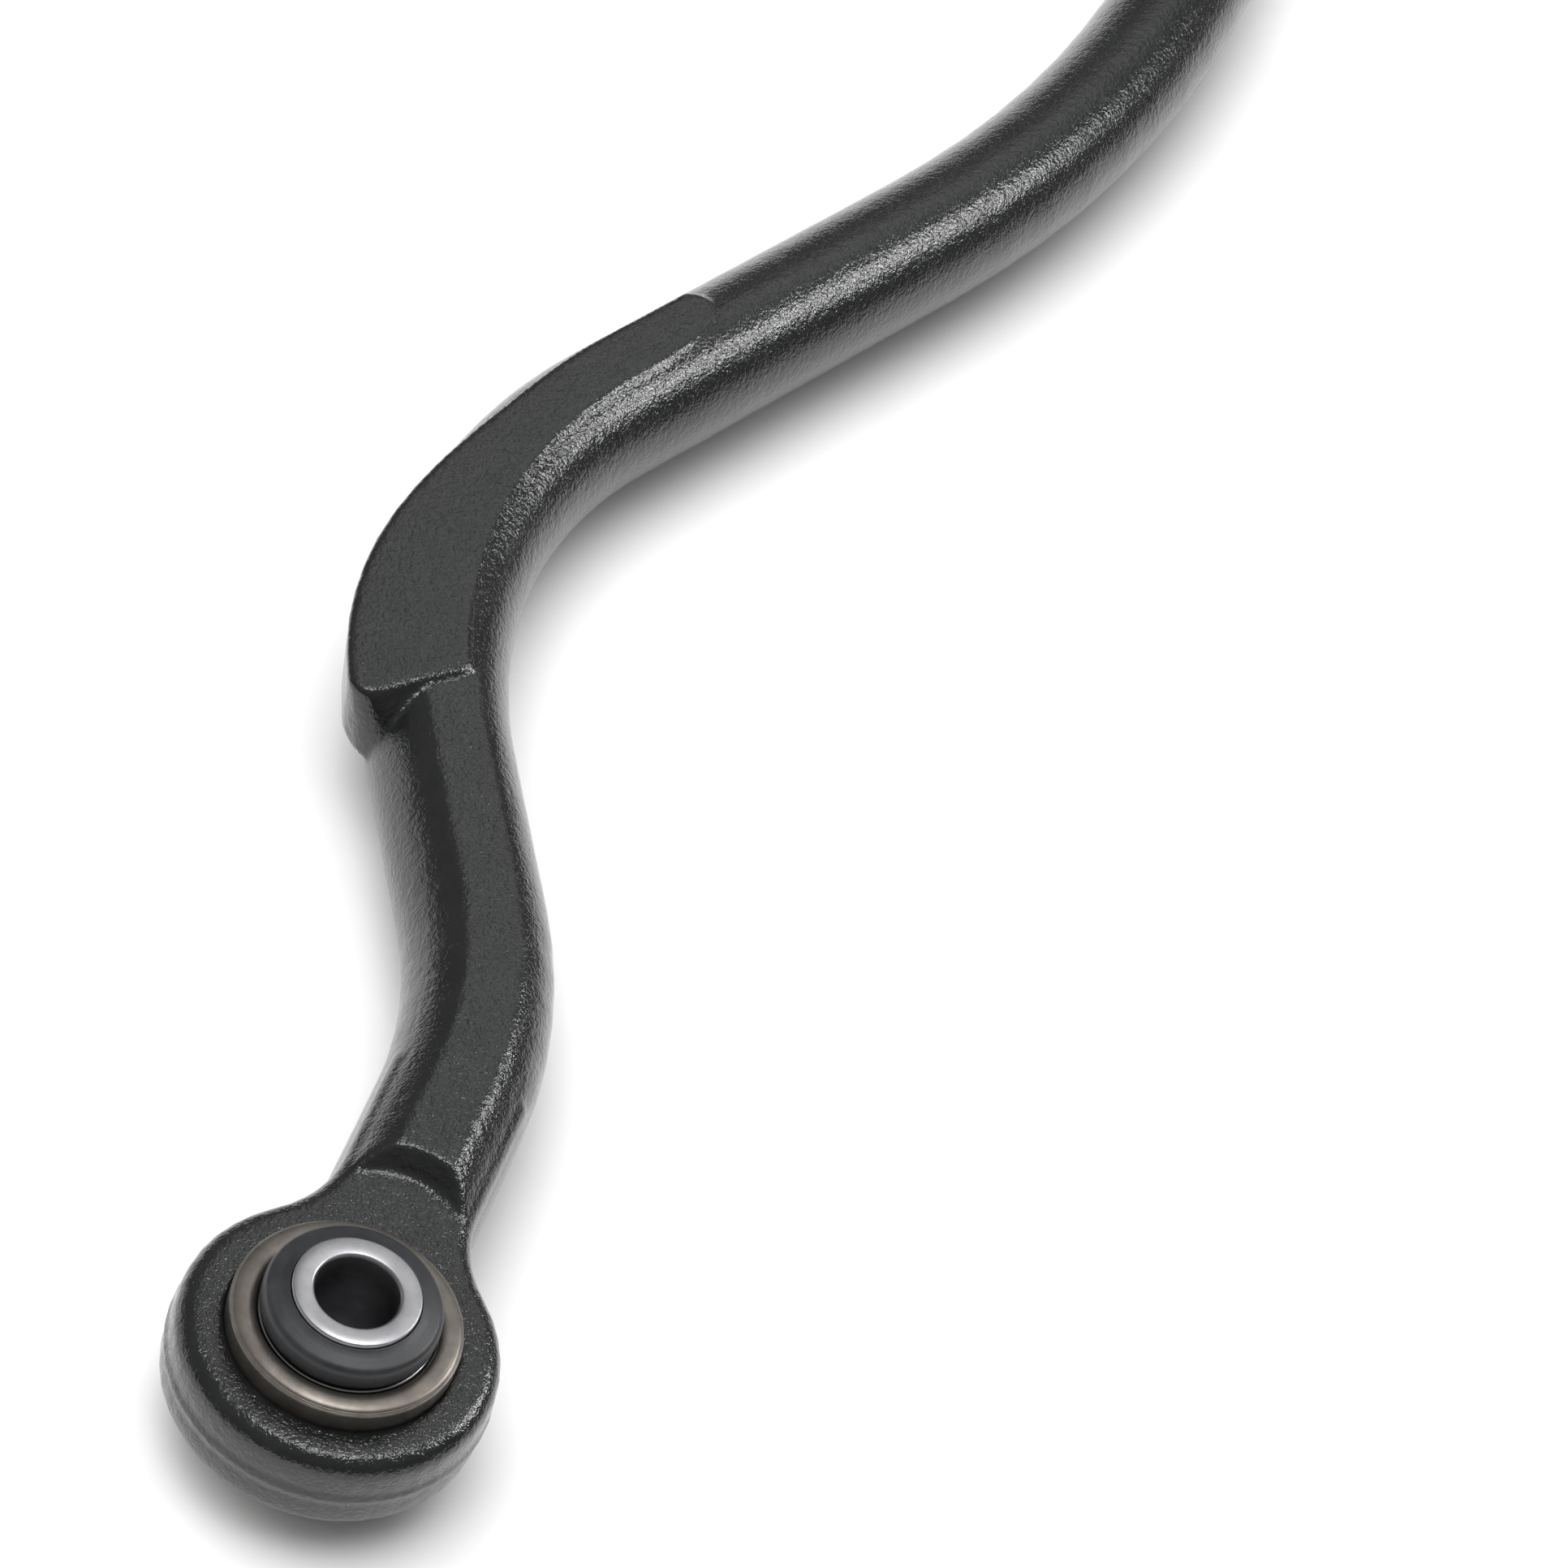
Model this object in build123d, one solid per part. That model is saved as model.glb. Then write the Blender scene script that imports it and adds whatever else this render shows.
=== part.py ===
"""Forged lateral control rod with a ball-sleeve joint pressed into the eye at each end.

Millimetres. The origin is the centre of joint A. +X runs to the centre of joint B and +Z is
the axis of both through bolts. The rod is bent in the XY plane only.
"""
import math
import os

from build123d import *

# ---- rod ----
EYE_SPACING = 820.0        # centre of eye A to centre of eye B
BAR_R = 13.4               # round bar stock
BEND_CORNERS = [(81.9, 1.6), (182.3, 58.9), (389.3, -36.0)]
BEND_RADII = [89.0, 114.0, 294.0]
PRESSED_Z = 12.4           # half height of the stretch that is pressed flat beside eye A
PRESSED_UNDER_PAD = 5.0    # how far the pressed stretch runs on beside the pad

# ---- pad on the outside of the bow: a flat-topped lug that leaves the underside round ----
PAD_Z = 13.6               # height of its flat
PAD_FOOT_Z = -1.0          # level where its walls are at their widest or narrowest
PAD_ROOT_Z = -10.0         # level where it has sunk back into the bar
PAD_START_OUTER = 142.1    # its first face is skewed: outer and inner stations at the flat
PAD_START_INNER = 152.8
PAD_START_SLOPE = 13.0     # how much earlier that face starts at the foot
PAD_END = 273.5            # tip of its rounded end
PAD_END_SLOPE = 24.0       # how much later it ends at the foot
PAD_OUTER = 19.5           # offset of the flat's outer edge from the bar's centreline
PAD_TAPER_START = 153.0    # from here the outer edge sinks back towards the bar
PAD_TAPER_END = 228.0
PAD_OUTER_END = 8.2
PAD_DRAFT = 2.2            # how much further in the outer wall is at the foot
PAD_INNER = -3.6           # offset of the flat's inner edge
PAD_INNER_END = -1.5
PAD_CORNER_R = 3.5         # plan radius where the first face meets the outer wall
PAD_FOOT_CORNER_R = 12.0
PAD_EDGE_R = 0.9           # rounding round the flat
PAD_STEPS = 8              # spans in each of its long curved edges

# ---- eyes ----
EYE_R = 27.9               # at mid height, where the two halves of the forging meet
EYE_HALF_Z = 8.5
EYE_DRAFT = 5.0            # degrees that the wall leans in, above and below mid height
EYE_EDGE_R = 3.4
NECK_LENGTH = 62.0         # straight stub that fillets the bar into the eye
NECK_FILLET_R = 22.0
NECK_INSET = 0.5           # how far the stub's sides stay inside the bar
TONGUE_X = 21.0            # the eye's face runs into the bar as a rounded tongue
TONGUE_R = 14.6
TONGUE_SLOPE = 4.0         # how much wider the tongue is at the top of the bar

# ---- housing ----
HOUSING_R = 19.6
HOUSING_BORE_R = 17.8
HOUSING_HALF_Z = 13.1
LIP_INNER_R = 15.2
LIP_THICK = 1.5
LIP_BEND_R = 1.2           # outside radius of the rolled rim

# ---- ball sleeve ----
BOLT_BORE_R = 7.1          # clearance bore for an M14 bolt
SLEEVE_R = 10.85
SLEEVE_HALF_Z = 19.6
BALL_R = 15.0
BORE_CHAMFER = 0.5
SLEEVE_CHAMFER = 0.4

# ---- inside the housing ----
RUNNING_CLEARANCE = 0.05
RACE_HALF_Z = 7.4
CLOSING_RING_TOP = 8.6
CLOSING_RING_BORE_R = 13.5
BEAD_TOP = 11.3
BEAD_R = 17.4
WIRE_R = 0.45
WIRE_CENTRE_R = 14.6
WIRE_Z = 12.2

# ---- boot ----
BOOT_WAIST_R = 14.7        # where it passes through the rolled rim
BOOT_R = 14.9
BOOT_TOP = 19.0
BOOT_NECK_BOTTOM = 13.2
BOOT_FOLD_R = 12.6
BOOT_FOLD_GAP = 0.4        # between the closing ring's bore and the boot's wall
BOOT_WALL = 1.5
INSERT_INNER_R = 11.9
INSERT_OUTER_R = 12.6
INSERT_BOTTOM = 16.4
INSERT_TOP = 18.1

PARTS_FOLDER = "parts"


def centreline():
    """The rod's centreline: straight runs joined by tangent arcs."""
    return FilletPolyline((0, 0), *BEND_CORNERS, (EYE_SPACING, 0), radius=BEND_RADII)


def beside(path, station, offset):
    """A point at a distance along the centreline, moved sideways (positive is to the left)."""
    point = path.position_at(station, position_mode=PositionMode.LENGTH)
    along = path.tangent_at(station, position_mode=PositionMode.LENGTH)
    return (point.X - along.Y * offset, point.Y + along.X * offset)


def ring(profile):
    """A solid of revolution about Z from a closed list of (radius, z) points."""
    outline = [(r, 0, z) for r, z in profile]
    return revolve(make_face(Polyline(*outline, close=True)), axis=Axis.Z)


def box_ring(inner_r, outer_r, bottom, top):
    """A plain ring of rectangular section."""
    return ring([(inner_r, bottom), (outer_r, bottom), (outer_r, top), (inner_r, top)])


def ease(value, low, high):
    """Smooth step from 0 at low to 1 at high."""
    run = min(max((value - low) / (high - low), 0.0), 1.0)
    return run * run * (3 - 2 * run)


# ---------------------------------------------------------------- rod


def pad_plan(path, z, start, outwards, end, corner_r):
    """The pad's outline at one level.

    start and end move its first face and its rounded end along the bar, and outwards moves
    its outer wall, all in millimetres from where they are at the flat.
    """
    width = PAD_OUTER_END - PAD_INNER_END
    last = PAD_END + end - width / 2
    steps = PAD_STEPS
    outer = []
    inner = []
    for step in range(steps + 1):
        share = step / steps
        station = PAD_START_OUTER + start + (last - PAD_START_OUTER - start) * share
        sunk = ease(station, PAD_TAPER_START, PAD_TAPER_END)
        offset = PAD_OUTER + (PAD_OUTER_END - PAD_OUTER) * sunk
        outer.append(beside(path, station, offset + outwards * (1 - sunk)))
        station = PAD_START_INNER + start + (last - PAD_START_INNER - start) * share
        closing = ease(station, last - 2 * width, last)
        inner.append(beside(path, station, PAD_INNER + (PAD_INNER_END - PAD_INNER) * closing))
    tip = beside(path, PAD_END + end, (PAD_OUTER_END + PAD_INNER_END) / 2)
    outline = Spline(*outer) + ThreePointArc(outer[-1], tip, inner[-1])
    outline += Spline(*inner[::-1]) + Line(inner[0], outer[0])
    plan = make_face(outline)
    corner = plan.vertices().sort_by_distance((*outer[0], 0))[0]
    return Pos(0, 0, z) * fillet(corner, corner_r)


def pad(path):
    """The flat-topped pad on the outside of the bow."""
    flat = pad_plan(path, PAD_Z, 0, 0, 0, PAD_CORNER_R)
    foot = pad_plan(path, PAD_FOOT_Z, -PAD_START_SLOPE, -PAD_DRAFT, PAD_END_SLOPE, PAD_FOOT_CORNER_R)
    depth = PAD_FOOT_Z - PAD_ROOT_Z
    root = pad_plan(
        path, PAD_ROOT_Z, depth, -PAD_DRAFT - depth, PAD_END_SLOPE - depth, PAD_FOOT_CORNER_R / 2
    )
    upper = loft([foot, flat], ruled=True)
    lower = loft([root, foot], ruled=True)
    rim = upper.faces().sort_by(Axis.Z)[-1].edges()
    return fillet(rim, PAD_EDGE_R) + lower


def pressed_waste(path):
    """What the press takes off the round bar above and below, from eye A to the pad."""
    reach = 3 * BAR_R
    corners = [
        (-reach, -reach),
        beside(path, PAD_START_INNER / 2, -reach),
        beside(path, PAD_START_INNER + PRESSED_UNDER_PAD, -BAR_R - 1),
        beside(path, PAD_START_OUTER, PAD_OUTER + 1),
        (-reach, 2 * reach),
    ]
    plan = make_face(Polyline(*corners, close=True))
    above = Pos(0, 0, PRESSED_Z) * extrude(plan, BAR_R)
    return above + mirror(above, about=Plane.XY)


def eye_blank(heading):
    """Eye disc with the fillets that lead into the bar, at the origin, the bar along heading."""
    stub = Pos(NECK_LENGTH / 2, 0) * Rectangle(NECK_LENGTH, 2 * (BAR_R - NECK_INSET))
    plan = Circle(EYE_R) + stub
    inner_corners = plan.vertices().sort_by(Axis.X)[0:2]
    plan = fillet(inner_corners, NECK_FILLET_R)
    upper = extrude(plan, EYE_HALF_Z, taper=EYE_DRAFT)
    rim = upper.faces().sort_by(Axis.Z)[-1].edges()
    end_of_stub = NECK_LENGTH - EYE_HALF_Z
    upper = fillet([edge for edge in rim if edge.center().X < end_of_stub], EYE_EDGE_R)
    return Rot(0, 0, heading) * (upper + mirror(upper, about=Plane.XY))


def eye_clearance(heading):
    """What is cut from the bar over the eye's two faces, with the rounded tongue."""
    depth = BAR_R - EYE_HALF_Z
    over_eye = Pos(0, 0, EYE_HALF_Z + depth / 2) * Cylinder(EYE_R, depth)
    tongue = Pos(TONGUE_X, 0, EYE_HALF_Z + depth / 2) * Cone(TONGUE_R, TONGUE_R + TONGUE_SLOPE, depth)
    above = over_eye + tongue
    return Rot(0, 0, heading) * (above + mirror(above, about=Plane.XY))


def rod():
    """The forged and bent rod with both bored eyes."""
    path = centreline()
    start = path.tangent_at(0)
    end = path.tangent_at(1)
    heading_a = math.degrees(math.atan2(start.Y, start.X))
    heading_b = math.degrees(math.atan2(-end.Y, -end.X))
    far = Pos(EYE_SPACING, 0, 0)

    bar = sweep(Plane(origin=path @ 0, z_dir=start) * Circle(BAR_R), path=path)
    bar -= pressed_waste(path)
    bar -= eye_clearance(heading_a)
    bar -= far * eye_clearance(heading_b)
    body = bar + pad(path) + eye_blank(heading_a) + far * eye_blank(heading_b)
    bore = Cylinder(HOUSING_R, 4 * BAR_R)
    return body - bore - far * bore


# ---------------------------------------------------------------- ball-sleeve joint


def housing():
    """Steel sleeve pressed through the eye, with both rims rolled inwards over the boots."""
    top = HOUSING_HALF_Z
    wall_top = top - LIP_BEND_R
    bend = LIP_BEND_R * (1 - math.sqrt(0.5))
    edge = LIP_THICK / 3
    half = [
        (HOUSING_BORE_R, 0),
        (HOUSING_R, 0),
        (HOUSING_R, wall_top),
        (HOUSING_R - bend, top - bend),
        (HOUSING_R - LIP_BEND_R, top),
        (LIP_INNER_R + edge, top),
        (LIP_INNER_R, top - edge),
        (LIP_INNER_R, top - LIP_THICK),
        (HOUSING_BORE_R, top - LIP_THICK),
    ]
    lower = [(r, -z) for r, z in half]
    return ring(half[1:] + lower[:0:-1])


def race():
    """Upper half of the polymer race that holds the ball."""
    socket = BALL_R + RUNNING_CLEARANCE
    block = Pos(0, 0, RACE_HALF_Z / 2) * Cylinder(HOUSING_BORE_R, RACE_HALF_Z)
    return block - Sphere(socket)


def ball_sleeve():
    """Bored inner sleeve with the ball at its middle."""
    body = Cylinder(SLEEVE_R, 2 * SLEEVE_HALF_Z) + Sphere(BALL_R)
    waist = body.edges().filter_by(GeomType.CIRCLE).sort_by(lambda edge: abs(edge.center().Z))
    ends = [edge for edge in waist if abs(abs(edge.center().Z) - SLEEVE_HALF_Z) < 0.01]
    body = chamfer(ends, SLEEVE_CHAMFER)
    body -= Cylinder(BOLT_BORE_R, 2 * SLEEVE_HALF_Z)
    mouths = [
        edge
        for edge in body.edges().filter_by(GeomType.CIRCLE)
        if abs(edge.radius - BOLT_BORE_R) < 0.01
    ]
    return chamfer(mouths, BORE_CHAMFER)


def closing_ring():
    """Flat steel ring over the race, under the rolled rim."""
    return box_ring(CLOSING_RING_BORE_R, HOUSING_BORE_R, RACE_HALF_Z, CLOSING_RING_TOP)


def clamp_wire():
    """Wire ring that holds the boot's bead in the housing."""
    return Pos(0, 0, WIRE_Z) * Torus(WIRE_CENTRE_R, WIRE_R)


def neck_insert():
    """Steel band inside the boot's neck, which grips the sleeve."""
    return box_ring(INSERT_INNER_R, INSERT_OUTER_R, INSERT_BOTTOM, INSERT_TOP)


def boot():
    """Rubber boot: bead in the housing, a folded wall and a thick neck on the sleeve."""
    grip = SLEEVE_R + RUNNING_CLEARANCE
    wall = BOOT_WALL
    fold = CLOSING_RING_BORE_R + BOOT_FOLD_GAP
    profile = [
        (fold, CLOSING_RING_TOP),
        (BEAD_R, CLOSING_RING_TOP),
        (BEAD_R, BEAD_TOP),
        (BOOT_WAIST_R, BEAD_TOP),
        (BOOT_WAIST_R, HOUSING_HALF_Z),
        (BOOT_R, HOUSING_HALF_Z + wall / 2),
        (BOOT_R, BOOT_TOP - wall),
        (BOOT_R - wall, BOOT_TOP),
        (grip, BOOT_TOP),
        (grip, BOOT_NECK_BOTTOM),
        (BOOT_FOLD_R, BOOT_NECK_BOTTOM - wall),
        (fold, BEAD_TOP - wall),
    ]
    gap = RUNNING_CLEARANCE
    pocket = box_ring(INSERT_INNER_R - gap, INSERT_OUTER_R + gap, INSERT_BOTTOM - gap, INSERT_TOP + gap)
    seat = Pos(0, 0, WIRE_Z) * Torus(WIRE_CENTRE_R, WIRE_R)
    return ring(profile) - pocket - seat


def joint_parts():
    """Every piece of one ball-sleeve joint, centred on the origin."""
    parts = {"housing": housing(), "ball_sleeve": ball_sleeve()}
    handed = {
        "race": race(),
        "closing_ring": closing_ring(),
        "clamp_wire": clamp_wire(),
        "neck_insert": neck_insert(),
        "boot": boot(),
    }
    for name, shape in handed.items():
        parts[name + "_upper"] = shape
        parts[name + "_lower"] = mirror(shape, about=Plane.XY)
    return parts


def main():
    os.makedirs(PARTS_FOLDER, exist_ok=True)
    export_step(rod(), f"{PARTS_FOLDER}/rod.step")
    for end, place in (("a", Pos(0, 0, 0)), ("b", Pos(EYE_SPACING, 0, 0))):
        for name, shape in joint_parts().items():
            export_step(place * shape, f"{PARTS_FOLDER}/{end}_{name}.step")


main()
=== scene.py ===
import math

import bmesh
import bpy
import numpy as np
from mathutils import Matrix, Vector


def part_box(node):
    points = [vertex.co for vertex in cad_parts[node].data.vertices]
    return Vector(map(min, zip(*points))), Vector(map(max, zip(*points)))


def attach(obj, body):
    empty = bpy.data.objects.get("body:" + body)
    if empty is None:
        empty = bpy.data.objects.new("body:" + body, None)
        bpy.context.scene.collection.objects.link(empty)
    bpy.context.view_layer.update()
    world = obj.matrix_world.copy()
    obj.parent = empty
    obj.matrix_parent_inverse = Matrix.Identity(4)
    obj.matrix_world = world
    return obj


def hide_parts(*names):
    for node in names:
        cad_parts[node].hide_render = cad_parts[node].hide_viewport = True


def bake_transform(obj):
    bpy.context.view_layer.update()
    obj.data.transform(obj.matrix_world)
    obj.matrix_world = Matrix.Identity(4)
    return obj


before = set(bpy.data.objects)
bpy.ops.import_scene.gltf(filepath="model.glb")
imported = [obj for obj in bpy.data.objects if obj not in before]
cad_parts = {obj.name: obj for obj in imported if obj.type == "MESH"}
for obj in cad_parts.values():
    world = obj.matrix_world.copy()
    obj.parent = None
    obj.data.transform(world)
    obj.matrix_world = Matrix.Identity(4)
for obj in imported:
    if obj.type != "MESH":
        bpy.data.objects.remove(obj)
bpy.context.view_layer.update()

MM = 0.001
ENDS = ("a", "b")
SIDES = {"upper": 1, "lower": -1}

# rod surface, in metres
VOXEL = 0.7 * MM
SMOOTH_ROUNDS = 5
HAMMER_SIZE = 9 * MM
HAMMER_DEPTH = 0.16 * MM
SCALE_SIZE = 2.2 * MM
SCALE_DEPTH = 0.07 * MM
FLASH_HEIGHT = 0.45 * MM       # ridge where the two halves of the forging meet
FLASH_HALF_WIDTH = 0.9 * MM
FLASH_DIP = 0.80               # share of the height taken off again by the dip beside it
FLASH_DIP_WIDTH = 2.5          # times the ridge's own width
EYE_WALL_NEAR = 24 * MM        # the eye's wall lies between these distances from the bolt axis
EYE_WALL_FAR = 32 * MM

# turned rings: steps round each, and the ball sleeve's radii in mm
RING_STEPS = 192
BALL_STEPS = 24
SLEEVE_R = 10.85
BOLT_BORE_R = 7.1

# floor, in metres
FLOOR_HALF = 4.0

# camera, in the object's frame: metres and degrees
CAMERA_AIM = (0.1665, -0.0263, -0.0019)
CAMERA_DISTANCE = 1.1166
CAMERA_AZIMUTH = 1.33
CAMERA_ELEVATION = 45.31
CAMERA_ROLL = 23.68
CAMERA_LENS = 139.75


# ---------------------------------------------------------------- materials


def node_tree(name):
    """A new material with an empty Principled shader: (material, nodes, links, shader)."""
    material = bpy.data.materials.new(name)
    material.use_nodes = True
    tree = material.node_tree
    return material, tree.nodes, tree.links, tree.nodes["Principled BSDF"]


def noise(nodes, links, coords, scale, detail=4.0, roughness=0.5):
    """A noise texture on the object's own coordinates."""
    texture = nodes.new("ShaderNodeTexNoise")
    texture.inputs["Scale"].default_value = scale
    texture.inputs["Detail"].default_value = detail
    texture.inputs["Roughness"].default_value = roughness
    links.new(coords, texture.inputs["Vector"])
    return texture.outputs["Fac"]


def ramp(nodes, links, value, low, high, start=0.3, end=0.7):
    """Maps a noise value to colours between low and high."""
    colours = nodes.new("ShaderNodeValToRGB")
    colours.color_ramp.elements[0].position = start
    colours.color_ramp.elements[0].color = (*low, 1)
    colours.color_ramp.elements[1].position = end
    colours.color_ramp.elements[1].color = (*high, 1)
    links.new(value, colours.inputs["Fac"])
    return colours.outputs["Color"]


def span(nodes, links, value, low, high):
    """Maps 0..1 to low..high."""
    mapping = nodes.new("ShaderNodeMapRange")
    mapping.inputs["To Min"].default_value = low
    mapping.inputs["To Max"].default_value = high
    links.new(value, mapping.inputs["Value"])
    return mapping.outputs["Result"]


def bump(nodes, links, height, distance, strength=1.0, normal=None):
    """A bump node, chained on another one where normal is given."""
    node = nodes.new("ShaderNodeBump")
    node.inputs["Strength"].default_value = strength
    node.inputs["Distance"].default_value = distance
    links.new(height, node.inputs["Height"])
    if normal is not None:
        links.new(normal, node.inputs["Normal"])
    return node.outputs["Normal"]


def object_coords(nodes):
    """The object's own coordinates, which are the frame's, in metres."""
    return nodes.new("ShaderNodeTexCoord").outputs["Object"]


def radius_from_axis(nodes, links, coords, centre_x):
    """Distance from the bolt axis of the joint at centre_x, in metres."""
    shift = nodes.new("ShaderNodeVectorMath")
    shift.operation = "SUBTRACT"
    shift.inputs[1].default_value = (centre_x, 0, 0)
    links.new(coords, shift.inputs[0])
    flat = nodes.new("ShaderNodeVectorMath")
    flat.operation = "MULTIPLY"
    flat.inputs[1].default_value = (1, 1, 0)
    links.new(shift.outputs["Vector"], flat.inputs[0])
    length = nodes.new("ShaderNodeVectorMath")
    length.operation = "LENGTH"
    links.new(flat.outputs["Vector"], length.inputs[0])
    return length.outputs["Value"]


def turning_coords(nodes, links, coords, centre_x):
    """Coordinates that change with radius and height only, for lathe lines."""
    split = nodes.new("ShaderNodeSeparateXYZ")
    links.new(coords, split.inputs["Vector"])
    joined = nodes.new("ShaderNodeCombineXYZ")
    links.new(radius_from_axis(nodes, links, coords, centre_x), joined.inputs["X"])
    links.new(split.outputs["Z"], joined.inputs["Y"])
    return joined.outputs["Vector"]


def black_paint():
    """Gloss black paint over the scale and hammer marks of a forging."""
    material, nodes, links, shader = node_tree("black_paint")
    coords = object_coords(nodes)
    mottling = noise(nodes, links, coords, 140, 5)
    colour = ramp(nodes, links, mottling, (0.0060, 0.0064, 0.0068), (0.0095, 0.0098, 0.0102))
    links.new(colour, shader.inputs["Base Color"])
    patches = noise(nodes, links, coords, 60, 3)
    links.new(span(nodes, links, patches, 0.13, 0.22), shader.inputs["Roughness"])
    shader.inputs["IOR"].default_value = 1.47
    shader.inputs["Coat Weight"].default_value = 0.3
    shader.inputs["Coat Roughness"].default_value = 0.10
    coarse = noise(nodes, links, coords, 650, 3, 0.6)
    fine = noise(nodes, links, coords, 1400, 2, 0.7)
    normal = bump(nodes, links, coarse, 0.36 * MM, 0.5)
    normal = bump(nodes, links, fine, 0.22 * MM, 0.65, normal)
    links.new(normal, shader.inputs["Normal"])
    links.new(normal, shader.inputs["Coat Normal"])
    return material


def turned_steel(
    name, centre_x, dark, light, rough_low, rough_high, line_scale, line_depth, metallic=1.0
):
    """Machined steel with fine lathe lines round the bolt axis; less metallic where it is dull."""
    material, nodes, links, shader = node_tree(name)
    coords = object_coords(nodes)
    lathe = turning_coords(nodes, links, coords, centre_x)
    lines = noise(nodes, links, lathe, line_scale, 3, 0.7)
    stains = noise(nodes, links, coords, 180, 5, 0.6)
    links.new(ramp(nodes, links, stains, dark, light), shader.inputs["Base Color"])
    shader.inputs["Metallic"].default_value = metallic
    links.new(span(nodes, links, lines, rough_low, rough_high), shader.inputs["Roughness"])
    scratches = noise(nodes, links, coords, 2500, 2)
    normal = bump(nodes, links, lines, line_depth, 0.6)
    normal = bump(nodes, links, scratches, 0.02 * MM, 0.4, normal)
    links.new(normal, shader.inputs["Normal"])
    return material


def boot_rubber(centre_x):
    """Satin moulded rubber with faint mould rings, dust and a fine grain."""
    material, nodes, links, shader = node_tree("boot_rubber")
    coords = object_coords(nodes)
    dust = noise(nodes, links, coords, 220, 6, 0.65)
    colour = ramp(nodes, links, dust, (0.010, 0.0106, 0.0118), (0.020, 0.0212, 0.0236))
    links.new(colour, shader.inputs["Base Color"])
    links.new(span(nodes, links, dust, 0.36, 0.55), shader.inputs["Roughness"])
    lathe = turning_coords(nodes, links, coords, centre_x)
    rings = noise(nodes, links, lathe, 900, 2)
    grain = noise(nodes, links, coords, 3000, 2)
    normal = bump(nodes, links, rings, 0.08 * MM, 0.5)
    normal = bump(nodes, links, grain, 0.04 * MM, 0.4, normal)
    links.new(normal, shader.inputs["Normal"])
    return material


def moulded_polymer():
    """Off-white bearing polymer."""
    material, nodes, links, shader = node_tree("race_polymer")
    coords = object_coords(nodes)
    cloud = noise(nodes, links, coords, 90, 4)
    colour = ramp(nodes, links, cloud, (0.62, 0.60, 0.53), (0.75, 0.73, 0.66))
    links.new(colour, shader.inputs["Base Color"])
    links.new(span(nodes, links, cloud, 0.35, 0.5), shader.inputs["Roughness"])
    shader.inputs["Subsurface Weight"].default_value = 0.1
    grain = noise(nodes, links, coords, 2400, 2)
    links.new(bump(nodes, links, grain, 0.03 * MM, 0.4), shader.inputs["Normal"])
    return material


# ---------------------------------------------------------------- mesh helpers


def add_mesh(name, verts, faces, material):
    """A smooth-shaded mesh object with one material."""
    mesh = bpy.data.meshes.new(name)
    mesh.from_pydata([tuple(v) for v in verts], [], faces)
    mesh.materials.append(material)
    mesh.shade_smooth()
    obj = bpy.data.objects.new(name, mesh)
    bpy.context.scene.collection.objects.link(obj)
    return obj


def rounded(profile):
    """Catmull-Rom points through a closed (radius, z) outline in mm, four to a span."""
    points = np.array(profile, float)
    count = len(points)
    out = []
    for i in range(count):
        p0, p1, p2, p3 = (points[(i + k) % count] for k in (-1, 0, 1, 2))
        for t in (0, 0.25, 0.5, 0.75):
            a = 2 * p1
            b = p2 - p0
            c = 2 * p0 - 5 * p1 + 4 * p2 - p3
            d = -p0 + 3 * p1 - 3 * p2 + p3
            out.append(0.5 * (a + b * t + c * t * t + d * t ** 3))
    return out


def turn(name, outline, centre_x, side, material, steps=RING_STEPS):
    """A closed ring turned from a (radius, z) outline in mm; side -1 turns it upside down."""
    count = len(outline)
    verts = []
    for i in range(steps):
        angle = 2 * math.pi * i / steps
        for r, z in outline:
            x = centre_x + r * MM * math.cos(angle)
            verts.append((x, r * MM * math.sin(angle), side * z * MM))
    faces = []
    for i in range(steps):
        j = (i + 1) % steps
        for k in range(count):
            m = (k + 1) % count
            faces.append((i * count + k, j * count + k, j * count + m, i * count + m))
    obj = add_mesh(name, verts, faces, material)
    tidy_normals(obj)
    return obj


def tidy_normals(obj):
    """Turns all faces outwards."""
    mesh = bmesh.new()
    mesh.from_mesh(obj.data)
    bmesh.ops.recalc_face_normals(mesh, faces=mesh.faces)
    mesh.to_mesh(obj.data)
    mesh.free()


def apply_modifiers(obj):
    """Replaces the object's mesh with its evaluated one and clears the modifiers."""
    bpy.context.view_layer.update()
    graph = bpy.context.evaluated_depsgraph_get()
    mesh = bpy.data.meshes.new_from_object(obj.evaluated_get(graph))
    obj.modifiers.clear()
    obj.data = mesh


def joint_x(end):
    """Where the bolt axis of one joint stands along the rod."""
    low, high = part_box(f"{end}_housing")
    return (low.x + high.x) / 2


# ---------------------------------------------------------------- pieces


def displace(obj, name, size, strength):
    """Soft lumps of one size, pushed in and out of the surface."""
    texture = bpy.data.textures.new(name, "CLOUDS")
    texture.noise_basis = "ORIGINAL_PERLIN"
    texture.noise_scale = size
    texture.noise_depth = 2
    modifier = obj.modifiers.new(name, "DISPLACE")
    modifier.texture = texture
    modifier.texture_coords = "LOCAL"
    modifier.strength = strength


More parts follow.
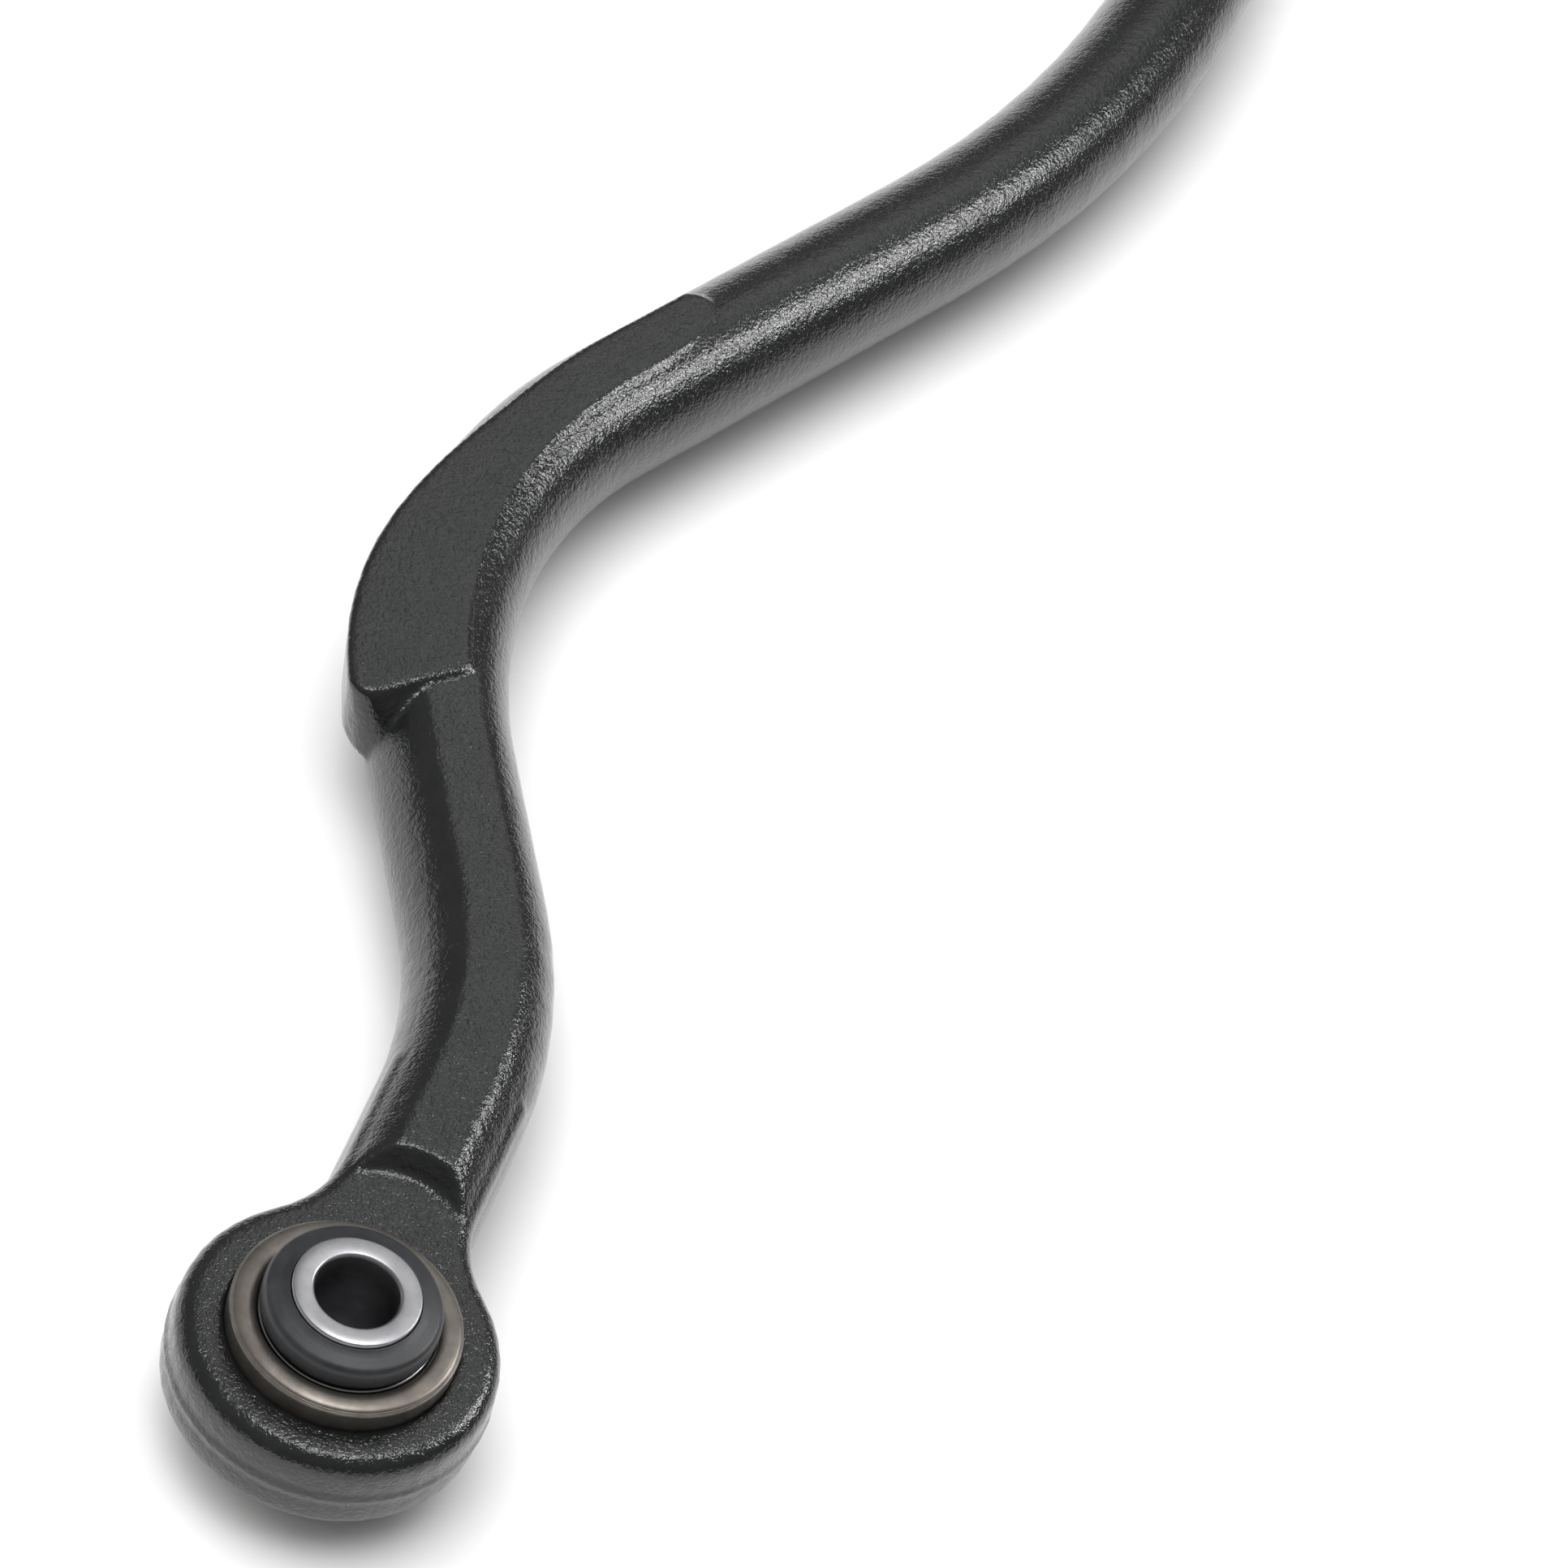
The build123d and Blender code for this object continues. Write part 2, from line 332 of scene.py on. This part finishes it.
def raise_flash_line(rod):
    """Raises a low ridge round the wall of each eye, at mid height, with a shallow dip beside it."""
    mesh = rod.data
    count = len(mesh.vertices)
    points = np.empty(count * 3)
    normals = np.empty(count * 3)
    mesh.vertices.foreach_get("co", points)
    mesh.vertices.foreach_get("normal", normals)
    points = points.reshape(-1, 3)
    normals = normals.reshape(-1, 3)
    for end in ENDS:
        x = joint_x(end)
        radius = np.hypot(points[:, 0] - x, points[:, 1])
        on_wall = (radius > EYE_WALL_NEAR) & (radius < EYE_WALL_FAR)
        height = points[:, 2] / FLASH_HALF_WIDTH
        profile = np.exp(-height ** 2) - FLASH_DIP * np.exp(-(height / FLASH_DIP_WIDTH) ** 2)
        points += normals * (on_wall * profile * FLASH_HEIGHT)[:, None]
    mesh.vertices.foreach_set("co", points.ravel())
    mesh.update()


def forged_rod(material):
    """The rod's skin: the CAD rod with softened edges, hammer marks and scale."""
    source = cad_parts["rod"]
    rod = bpy.data.objects.new("forged_rod", source.data.copy())
    bpy.context.scene.collection.objects.link(rod)
    remesh = rod.modifiers.new("skin", "REMESH")
    remesh.mode = "VOXEL"
    remesh.voxel_size = VOXEL
    wrap = rod.modifiers.new("wrap", "SHRINKWRAP")
    wrap.target = source
    wrap.wrap_method = "NEAREST_SURFACEPOINT"
    smooth = rod.modifiers.new("soften", "SMOOTH")
    smooth.factor = 0.5
    smooth.iterations = SMOOTH_ROUNDS
    apply_modifiers(rod)
    raise_flash_line(rod)
    displace(rod, "hammer", HAMMER_SIZE, HAMMER_DEPTH)
    displace(rod, "scale", SCALE_SIZE, SCALE_DEPTH)
    apply_modifiers(rod)
    rod.data.materials.clear()
    rod.data.materials.append(material)
    rod.data.shade_smooth()
    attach(rod, "rod")
    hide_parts("rod")
    return rod


def rolled_housing(end, material):
    """Housing with fine turned steps on its outer corner and a domed, rolled-in rim.

    Each pair is a radius and how far it lies below the top, in mm.
    """
    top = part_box(f"{end}_housing")[1].z / MM
    drops = [
        (19.6, 6.0), (19.6, 1.5), (19.58, 1.05), (19.5, 0.84), (19.38, 0.78), (19.34, 0.66), (19.24, 0.56),
        (19.14, 0.54), (19.08, 0.42), (18.7, 0.24), (18.0, 0.09), (17.2, 0.01), (16.5, 0.02), (15.9, 0.15),
        (15.5, 0.4), (15.25, 0.8), (15.3, 1.2), (15.9, 1.5), (17.0, 1.5), (17.8, 1.7),
    ]
    half = [(r, top - drop) for r, drop in drops]
    outline = half + [(r, -z) for r, z in half[::-1]]
    piece = turn(f"{end}_rolled_housing", rounded(outline), joint_x(end), 1, material)
    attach(piece, "rod")
    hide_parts(f"{end}_housing")


def turned_sleeve(end, material):
    """Ball sleeve with faced ends and chamfered mouths."""
    low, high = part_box(f"{end}_ball_sleeve")
    top = high.z / MM
    ball = (high.y - low.y) / 2 / MM
    tube = SLEEVE_R
    bore = BOLT_BORE_R
    start = math.asin(tube / ball)
    arc = []
    for i in range(BALL_STEPS + 1):
        angle = start + (math.pi - 2 * start) * i / BALL_STEPS
        arc.append((ball * math.sin(angle), ball * math.cos(angle)))
    mouth = [
        (bore, top - 0.6), (bore + 0.15, top - 0.3), (bore + 0.4, top - 0.08), (bore + 0.65, top),
        (9.2, top), (tube - 0.3, top), (tube - 0.1, top - 0.08), (tube, top - 0.3), (tube, top - 4.5),
    ]
    outline = mouth + arc + [(r, -z) for r, z in mouth[::-1]]
    outline += [(bore, -12), (bore, 0), (bore, 12)]
    piece = turn(f"{end}_turned_sleeve", outline, joint_x(end), 1, material)
    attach(piece, f"{end}_sleeve")
    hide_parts(f"{end}_ball_sleeve")


def rubber_boot(end, side_name, material):
    """Boot in two pieces that meet at a fold.

    The pairs are a radius and its distance below or above the housing's rim, in mm.
    """
    side = SIDES[side_name]
    x = joint_x(end)
    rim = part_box(f"{end}_housing")[1].z / MM
    skirt_drops = [
        (14.4, 4.4), (16.0, 4.45), (17.2, 4.35), (17.35, 3.3), (17.2, 2.2), (16.2, 1.95), (15.2, 1.9),
        (14.8, 1.7), (14.6, 1.3), (14.25, 0.7), (14.2, 0.2), (14.5, -0.15), (14.9, -0.45), (14.2, -0.6),
        (13.3, -0.5), (13.0, 0.5), (13.3, 2.1), (14.1, 3.5),
    ]
    neck_rises = [
        (13.4, 0.35), (14.4, 0.3), (14.95, 0.5), (15.1, 1.2), (15.15, 2.2), (15.1, 3.2), (14.95, 3.9),
        (14.7, 4.35), (14.4, 4.62), (14.0, 4.8), (13.2, 5.02), (12.2, 5.32), (11.5, 5.6), (11.1, 5.8),
        (11.0, 5.6), (10.98, 4.8), (11.05, 3.2), (12.1, 1.6),
    ]
    skirt = rounded([(r, rim - drop) for r, drop in skirt_drops])
    neck = rounded([(r, rim + rise) for r, rise in neck_rises])
    lower = turn(f"{end}_boot_skirt_{side_name}", skirt, x, side, material)
    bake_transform(lower)
    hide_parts(f"{end}_boot_{side_name}")
    upper = turn(f"{end}_boot_neck_{side_name}", neck, x, side, material)
    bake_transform(upper)
    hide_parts(f"{end}_boot_{side_name}")


def finish_cad_node(node, material):
    """A CAD piece whose shape is right keeps it and gets its material."""
    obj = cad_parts[node]
    obj.data.materials.clear()
    obj.data.materials.append(material)


# ---------------------------------------------------------------- stage


def place_camera():
    """The camera, aimed at a point of the rod and rolled about its own axis."""
    azimuth = math.radians(CAMERA_AZIMUTH)
    elevation = math.radians(CAMERA_ELEVATION)
    roll = math.radians(CAMERA_ROLL)
    forward = Vector((
        math.cos(azimuth) * math.cos(elevation),
        math.sin(azimuth) * math.cos(elevation),
        -math.sin(elevation),
    ))
    level_right = forward.cross(Vector((0, 0, 1))).normalized()
    level_up = level_right.cross(forward)
    right = level_right * math.cos(roll) + level_up * math.sin(roll)
    up = right.cross(forward)
    camera = bpy.data.objects.new("camera", bpy.data.cameras.new("camera"))
    camera.data.lens = CAMERA_LENS
    camera.data.sensor_width = 36
    camera.data.clip_start = 0.01
    turn_to = Matrix((right, up, -forward)).transposed()
    place = Matrix.Translation(Vector(CAMERA_AIM) - forward * CAMERA_DISTANCE)
    camera.matrix_world = place @ turn_to.to_4x4()
    bpy.context.scene.collection.objects.link(camera)
    bpy.context.scene.camera = camera


def soft_light(name, azimuth, elevation, distance, size, power, in_gloss=True, in_diffuse=True):
    """A square area light that looks at the middle of the view."""
    a = math.radians(azimuth)
    e = math.radians(elevation)
    direction = Vector((math.cos(a) * math.cos(e), math.sin(a) * math.cos(e), math.sin(e)))
    data = bpy.data.lights.new(name, "AREA")
    data.shape = "SQUARE"
    data.size = size
    data.energy = power
    light = bpy.data.objects.new(name, data)
    light.location = Vector(CAMERA_AIM) + direction * distance
    light.rotation_euler = direction.to_track_quat("Z", "Y").to_euler()
    light.visible_glossy = in_gloss
    light.visible_diffuse = in_diffuse
    bpy.context.scene.collection.objects.link(light)


def surroundings():
    """A dim room over the white floor, a little lighter high up."""
    world = bpy.data.worlds.new("studio")
    bpy.context.scene.world = world
    world.use_nodes = True
    nodes = world.node_tree.nodes
    links = world.node_tree.links
    background = nodes["Background"]
    direction = nodes.new("ShaderNodeTexCoord").outputs["Generated"]
    split = nodes.new("ShaderNodeSeparateXYZ")
    links.new(direction, split.inputs["Vector"])
    low = (0.20, 0.20, 0.20)
    high = (0.28, 0.28, 0.28)
    tone = ramp(nodes, links, split.outputs["Z"], low, high, 0.40, 0.72)
    links.new(tone, background.inputs["Color"])
    background.inputs["Strength"].default_value = 1.0


def pale_floor():
    """A plain pale floor under the lowest CAD node."""
    material, nodes, links, shader = node_tree("pale_floor")
    coords = object_coords(nodes)
    paper = noise(nodes, links, coords, 40, 4)
    colour = ramp(nodes, links, paper, (0.86, 0.86, 0.86), (0.88, 0.88, 0.88))
    links.new(colour, shader.inputs["Base Color"])
    shader.inputs["Roughness"].default_value = 0.9
    shader.inputs["Specular IOR Level"].default_value = 0.1
    half = FLOOR_HALF
    z = min(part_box(node)[0].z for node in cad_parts)
    corners = [(-half, -half, z), (half, -half, z), (half, half, z), (-half, half, z)]
    add_mesh("floor", corners, [(0, 1, 2, 3)], material)


def main():
    place_camera()
    surroundings()
    pale_floor()
    soft_light("strip_right", -51, 42, 1.6, 0.42, 11, in_diffuse=False)
    soft_light("overhead_glint", -30, 84, 1.6, 0.5, 9, in_diffuse=False)
    soft_light("card_ahead", 2, 45, 2.0, 0.95, 2.6, in_diffuse=False)
    soft_light("wall_left", 85, 3, 2.0, 0.6, 1.6, in_diffuse=False)
    soft_light("key_left", 125, 60, 1.8, 1.8, 26, in_gloss=False)
    soft_light("top", 20, 85, 2.5, 3.0, 72, in_gloss=False)

    forged_rod(black_paint())
    race = moulded_polymer()
    olive = ((0.12, 0.108, 0.096), (0.20, 0.182, 0.162))
    bright = ((0.33, 0.33, 0.345), (0.44, 0.44, 0.455))
    plain = ((0.35, 0.35, 0.35), (0.50, 0.50, 0.50))
    wire = ((0.25, 0.25, 0.25), (0.40, 0.40, 0.40))
    for end in ENDS:
        x = joint_x(end)
        housing_steel = turned_steel(f"housing_steel_{end}", x, *olive, 0.28, 0.42, 1500, 0.04 * MM, 0.85)
        sleeve_steel = turned_steel(f"sleeve_steel_{end}", x, *bright, 0.30, 0.44, 2600, 0.02 * MM)
        ring_steel = turned_steel(f"ring_steel_{end}", x, *plain, 0.30, 0.45, 1200, 0.02 * MM)
        wire_steel = turned_steel(f"wire_steel_{end}", x, *wire, 0.22, 0.34, 3000, 0.01 * MM)
        rubber = boot_rubber(x)
        rolled_housing(end, housing_steel)
        turned_sleeve(end, sleeve_steel)
        for side_name in SIDES:
            rubber_boot(end, side_name, rubber)
            finish_cad_node(f"{end}_race_{side_name}", race)
            finish_cad_node(f"{end}_closing_ring_{side_name}", ring_steel)
            finish_cad_node(f"{end}_clamp_wire_{side_name}", wire_steel)
            finish_cad_node(f"{end}_neck_insert_{side_name}", ring_steel)

    bpy.context.scene.view_settings.view_transform = "Standard"


main()
